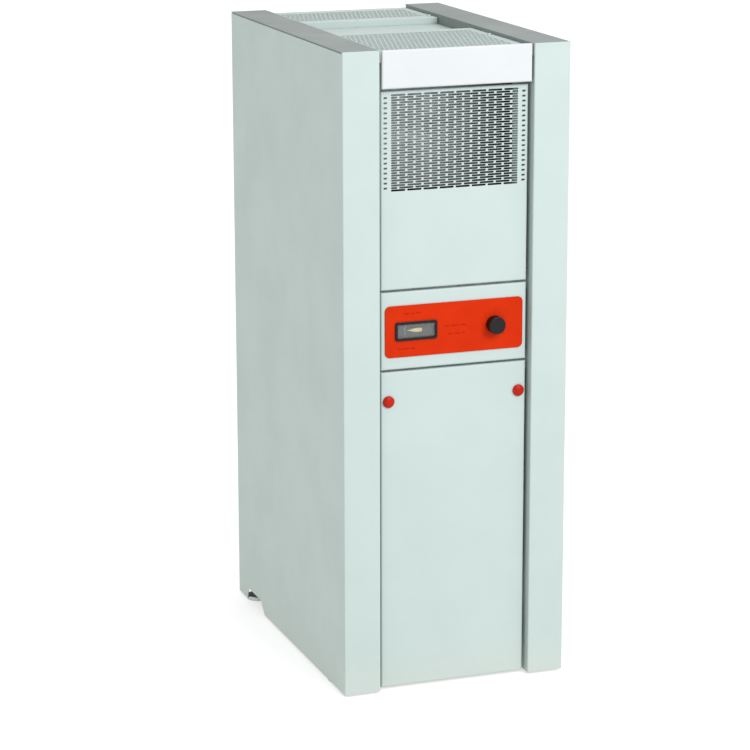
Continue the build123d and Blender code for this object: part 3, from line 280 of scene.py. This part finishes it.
def redNylon(name, look):
    material = makeFinish(name, look)
    shader = material.node_tree.nodes["Principled BSDF"]
    shader.inputs["Subsurface Weight"].default_value = look["sinkShare"]
    shader.inputs["Subsurface Scale"].default_value = look["sinkMm"] * mm
    return material


def pointerEnamel(name, look):
    # pale band along the middle, dark border towards the long edges
    material, tree, shader, place = startMaterial(name, look)
    ramp = shadeColour(tree, shader, place, look)
    surfaceGrain(tree, shader, place, look)
    low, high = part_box("thermometer_pointer")
    height = addNode(tree, "ShaderNodeSeparateXYZ", {"Vector": place})
    fromAxis = addNode(tree, "ShaderNodeMath", {
        0: height.outputs["Z"], 1: (low[2] + high[2]) / 2}, operation="SUBTRACT")
    away = addNode(tree, "ShaderNodeMath", {0: fromAxis.outputs["Value"]}, operation="ABSOLUTE")
    border = addNode(tree, "ShaderNodeMath", {
        0: away.outputs["Value"], 1: look["bandMm"] * mm}, operation="GREATER_THAN")
    layOver(tree, shader, ramp.outputs["Color"], border.outputs["Value"], look["edge"])
    return material


finishes = {
    "casing_paint": powderCoat("powderCoatOffWhite", powderCoatLook),
    "fascia_orange": makeFinish("absOrangeFascia", fasciaLook),
    "black_plastic": makeFinish("absBlackMoulding", blackAbsLook),
    "red_plastic": redNylon("nylonRedCap", redNylonLook),
    "clear_window": acrylic("acrylicWindowPaintedGlare", acrylicPaintedGlareLook),
    "dial_grey": makeFinish("cardGreyDial", dialCardLook),
    "pointer_cream": pointerEnamel("enamelCreamPointer", pointerEnamelLook),
    "galvanised_steel": galvanised("galvanisedSheet", galvanisedLook),
    "zinc_hardware": makeFinish("zincPlatedHardware", zincLook),
    "stainless_steel": burnerSteel("stainlessBurnerTube", burnerLook),
    "grey_cast_iron": makeFinish("castIronSandCast", castIronLook),
    "brass": makeFinish("brassTurned", brassLook),
    "copper": makeFinish("copperDrawn", copperLook),
    "die_cast_aluminium": makeFinish("aluminiumDieCast", dieCastLook),
    "aluminised_steel": makeFinish("aluminisedSheet", aluminisedLook),
    # on the cross rails this black stands for the shade behind the panel gaps
    "black_steel_tube": makeFinish("steelTubeBlackLacquerAndPaintedShade", blackTubeAndShadeLook),
    "ceramic_board": makeFinish("ceramicFibreBoard", fibreBoardLook),
    "mineral_wool": makeFinish("mineralWoolFoilFaced", foilWoolLook),
    "cable_sheath": makeFinish("pvcCableSheath", sheathLook),
}
# the rails' coat is the casing paint darkened as painted shade
railPaintedShadeCoat = powderCoat("powderCoatRailPaintedShade", railPaintedShadeCoatLook)
# the header's coat is the casing paint lightened as painted light
headerPaintedLightCoat = powderCoat("powderCoatHeaderPaintedLight", headerPaintedLightCoatLook)
printInk = makeFinish("inkFasciaPrint", printInkLook)
scaleInk = makeFinish("inkDialScale", scaleInkLook)

slotOf = {part["node"]: part["material_slot"] for part in frame["record"]["subparts"]}
# the rails get the painted-shade copy of the coat, the header the painted-light copy
shadedAndLitCoat = {"top_rail_left": railPaintedShadeCoat, "top_rail_right": railPaintedShadeCoat, "header_bar": headerPaintedLightCoat}
for name, piece in nodes.items():
    finish = shadedAndLitCoat.get(name, finishes[slotOf[name]])
    for slot in piece.material_slots:
        slot.material = finish
print("finishes laid on", len(nodes), "nodes")


def dropSelection():
    bpy.ops.object.select_all(action="DESELECT")


# corners of every printed bar: the cut as a share of the bar's width
barCorner = {"share": 0.45, "segments": 2}


def printedBar(long, wide, thick):
    # flat upright bar on an XZ face, its corners rounded and its thickness towards the front
    dropSelection()
    bpy.ops.mesh.primitive_plane_add(size=1, location=(0, 0, 0), rotation=(math.pi / 2, 0, 0))
    bar = bpy.context.object
    bar.scale = (wide, long, 1)
    bpy.ops.object.transform_apply(location=True, rotation=True, scale=True)
    bpy.ops.object.mode_set(mode="EDIT")
    bpy.ops.mesh.select_all(action="SELECT")
    bpy.ops.mesh.bevel(offset=wide * barCorner["share"], segments=barCorner["segments"], affect="VERTICES")
    bpy.ops.mesh.select_all(action="SELECT")
    bpy.ops.mesh.extrude_region_move(TRANSFORM_OT_translate={"value": (0, -thick, 0)})
    bpy.ops.mesh.select_all(action="SELECT")
    bpy.ops.mesh.normals_make_consistent(inside=False)
    bpy.ops.object.mode_set(mode="OBJECT")
    return bar


def tickMarks(look):
    # one tick is modelled, the others are copies of it
    first = printedBar(look["long"] * mm, look["wide"] * mm, look["thick"] * mm)
    ticks = [first]
    for _ in range(look["ticks"] - 1):
        copied = first.copy()
        copied.data = first.data.copy()
        bpy.context.scene.collection.objects.link(copied)
        ticks.append(copied)
    return ticks


def putAt(piece, middle, angle=0.0):
    # turned about Y, then moved
    dropSelection()
    piece.select_set(True)
    bpy.context.view_layer.objects.active = piece
    piece.rotation_euler = (0, angle, 0)
    piece.location = middle
    bpy.ops.object.transform_apply(location=True, rotation=True, scale=True)


def evenAngles(sweep, count):
    # from one end of the sweep to the other, nought in the middle
    return [math.radians(-sweep / 2 + sweep * step / (count - 1)) for step in range(count)]


def joinPieces(name, pieces, material, body):
    dropSelection()
    for piece in pieces:
        piece.select_set(True)
    bpy.context.view_layer.objects.active = pieces[0]
    bpy.ops.object.join()
    joined = bpy.context.object
    joined.name = name
    joined.data.materials.clear()
    joined.data.materials.append(material)
    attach(joined, body)


mergeWithin = 0.005 * mm      # closes a number's faces onto its sides


def printedNumber(text, high, thick):
    dropSelection()
    bpy.ops.object.text_add(location=(0, 0, 0), rotation=(math.pi / 2, 0, 0))
    number = bpy.context.object
    number.data.body = text
    number.data.size = high
    number.data.align_x = "CENTER"
    number.data.align_y = "CENTER"
    number.data.extrude = thick / 2
    bpy.ops.object.convert(target="MESH")
    number = bpy.context.object
    bpy.ops.object.mode_set(mode="EDIT")
    bpy.ops.mesh.select_all(action="SELECT")
    bpy.ops.mesh.remove_doubles(threshold=mergeWithin)
    bpy.ops.mesh.normals_make_consistent(inside=False)
    bpy.ops.object.mode_set(mode="OBJECT")
    bpy.ops.object.transform_apply(location=True, rotation=True, scale=True)
    return number


# scale round the thermostat knob, measured outwards from its rim
knobScale = {"ticks": 11, "sweep": 270, "fromRim": 2.2, "long": 2.6, "wide": 0.5, "thick": 0.08,
             "numbers": ("30", "60", "90"), "numberHigh": 3.6, "numberOut": 7.2, "numberThick": 0.16}


def makeKnobScale(look):
    low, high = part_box("thermostat_knob")
    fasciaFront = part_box("control_fascia")[0][1]
    centreX, centreZ = (low[0] + high[0]) / 2, (low[2] + high[2]) / 2
    rim = (high[0] - low[0]) / 2
    tickOut = rim + (look["fromRim"] + look["long"] / 2) * mm
    numberOut = rim + look["numberOut"] * mm
    ticks = tickMarks(look)
    for tick, angle in zip(ticks, evenAngles(look["sweep"], look["ticks"])):
        middle = (centreX + tickOut * math.sin(angle), fasciaFront, centreZ + tickOut * math.cos(angle))
        putAt(tick, middle, angle)
    numbers = []
    for text, angle in zip(look["numbers"], evenAngles(look["sweep"], len(look["numbers"]))):
        middle = (centreX + numberOut * math.sin(angle), fasciaFront, centreZ + numberOut * math.cos(angle))
        number = printedNumber(text, look["numberHigh"] * mm, look["numberThick"] * mm)
        putAt(number, middle)
        numbers.append(number)
    joinPieces("knobScale", ticks + numbers, printInk, "casing")


# scale on the thermometer card, an arc ahead of the pointer's tip
dialScale = {"ticks": 13, "sweep": 44, "beyondTip": 1.4, "long": 1.6, "wide": 0.35, "thick": 0.05,
             "pivotBack": 18.5}


def makeDialScale(look):
    low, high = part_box("thermometer_pointer")
    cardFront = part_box("thermometer_dial")[0][1]
    centreZ = (low[2] + high[2]) / 2
    pivotX = low[0] + look["pivotBack"] * mm
    tickOut = (look["pivotBack"] + look["beyondTip"] + look["long"] / 2) * mm
    ticks = tickMarks(look)
    for tick, angle in zip(ticks, evenAngles(look["sweep"], look["ticks"])):
        middle = (pivotX - tickOut * math.cos(angle), cardFront, centreZ + tickOut * math.sin(angle))
        putAt(tick, middle, angle + math.pi / 2)
    joinPieces("dialScale", ticks, scaleInk, "casing")


# rows of plain printed bars: where each row stands from the middle of the fascia, and its bars' lengths
fasciaPrint = {"high": 1.6, "gap": 2.0, "thick": 0.08, "rows": (
    {"x": -58.6, "z": 23, "bars": (9, 4, 7)},
    {"x": -66.6, "z": -23, "bars": (6, 8, 6)},
    {"x": 0.7, "z": 2.6, "bars": (8, 11, 8)},
    {"x": 2.9, "z": -8, "bars": (6, 9, 4)},
)}


def makeFasciaPrint(look):
    low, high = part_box("control_fascia")
    centreX, centreZ = (low[0] + high[0]) / 2, (low[2] + high[2]) / 2
    bars = []
    for row in look["rows"]:
        left = row["x"] - (sum(row["bars"]) + look["gap"] * (len(row["bars"]) - 1)) / 2
        for long in row["bars"]:
            bar = printedBar(long * mm, look["high"] * mm, look["thick"] * mm)
            putAt(bar, (centreX + (left + long / 2) * mm, low[1], centreZ + row["z"] * mm), math.pi / 2)
            bars.append(bar)
            left += long + look["gap"]
    joinPieces("fasciaPrint", bars, printInk, "casing")


makeFasciaPrint(fasciaPrint)
makeKnobScale(knobScale)
makeDialScale(dialScale)
print("printed marks made")


# white studio: pale painted floor that runs out of view, even light from all round
stageLook = {"size": 60, "colour": "#b0b0af", "colour2": "#acacab", "rough": 0.7, "patchScale": 0.8,
             "patchDetail": 3.0, "glow": 0.62, "light": "#ffffff", "lightStrength": 1.02}


def makeStage(look):
    dropSelection()
    bpy.ops.mesh.primitive_plane_add(size=look["size"], location=(0, 0, 0))
    floor = bpy.context.object
    floor.name = "studioFloor"
    material, tree, shader, place = startMaterial("paintedFloorBoard", look)
    patches = addNode(tree, "ShaderNodeTexNoise", {
        "Vector": place, "Scale": look["patchScale"], "Detail": look["patchDetail"]})
    ramp = addNode(tree, "ShaderNodeValToRGB", {"Fac": patches.outputs["Fac"]})
    dark, light = ramp.color_ramp.elements
    dark.color = toLinear(look["colour2"])
    light.color = toLinear(look["colour"])
    tree.links.new(ramp.outputs["Color"], shader.inputs["Base Color"])
    shader.inputs["Emission Color"].default_value = toLinear(look["light"])
    shader.inputs["Emission Strength"].default_value = look["glow"]
    floor.data.materials.append(material)
    world = bpy.data.worlds.new("studioWorld")
    world.use_nodes = True
    backdrop = world.node_tree.nodes["Background"]
    backdrop.inputs["Color"].default_value = toLinear(look["light"])
    backdrop.inputs["Strength"].default_value = look["lightStrength"]
    bpy.context.scene.world = world


def aimAt(thing, target):
    thing.rotation_euler = (Vector(target) - thing.location).to_track_quat("-Z", "Y").to_euler()


# one large soft box ahead on the right, and a faint one overhead; power in watts
softBoxes = {
    "keyBox": {"at": (0.9, -2.7, 2.3), "size": 1.8, "power": 85, "aim": (0, -0.2, 0.6), "tint": "#fdf6ff"},
    "topBox": {"at": (0.2, 0.0, 3.4), "size": 2.6, "power": 5, "aim": (0, 0, 0.8), "tint": "#ffffff"},
}


def makeSoftBoxes(boxes):
    for name, look in boxes.items():
        light = bpy.data.lights.new(name, "AREA")
        light.shape = "SQUARE"
        light.size = look["size"]
        light.energy = look["power"]
        light.color = toLinear(look["tint"])[:3]
        lamp = bpy.data.objects.new(name, light)
        lamp.location = look["at"]
        bpy.context.scene.collection.objects.link(lamp)
        aimAt(lamp, look["aim"])


# standing front left, looking slightly down, long lens
cameraLook = {"at": (-1.2929, -3.5284, 1.3026), "yaw": 19.849, "pitch": 14.008, "roll": 0.111,
              "lens": 134.37, "sensor": 36}


def makeCamera(look):
    camera = bpy.data.objects.new("studioCamera", bpy.data.cameras.new("studioCamera"))
    camera.data.lens = look["lens"]
    camera.data.sensor_width = look["sensor"]
    camera.location = look["at"]
    turns = (90 - look["pitch"], look["roll"], -look["yaw"])
    camera.rotation_euler = [math.radians(turn) for turn in turns]
    bpy.context.scene.collection.objects.link(camera)
    bpy.context.scene.camera = camera


makeStage(stageLook)
makeSoftBoxes(softBoxes)
makeCamera(cameraLook)
bpy.context.scene.view_settings.view_transform = "Standard"
print("floor, lights and camera set")
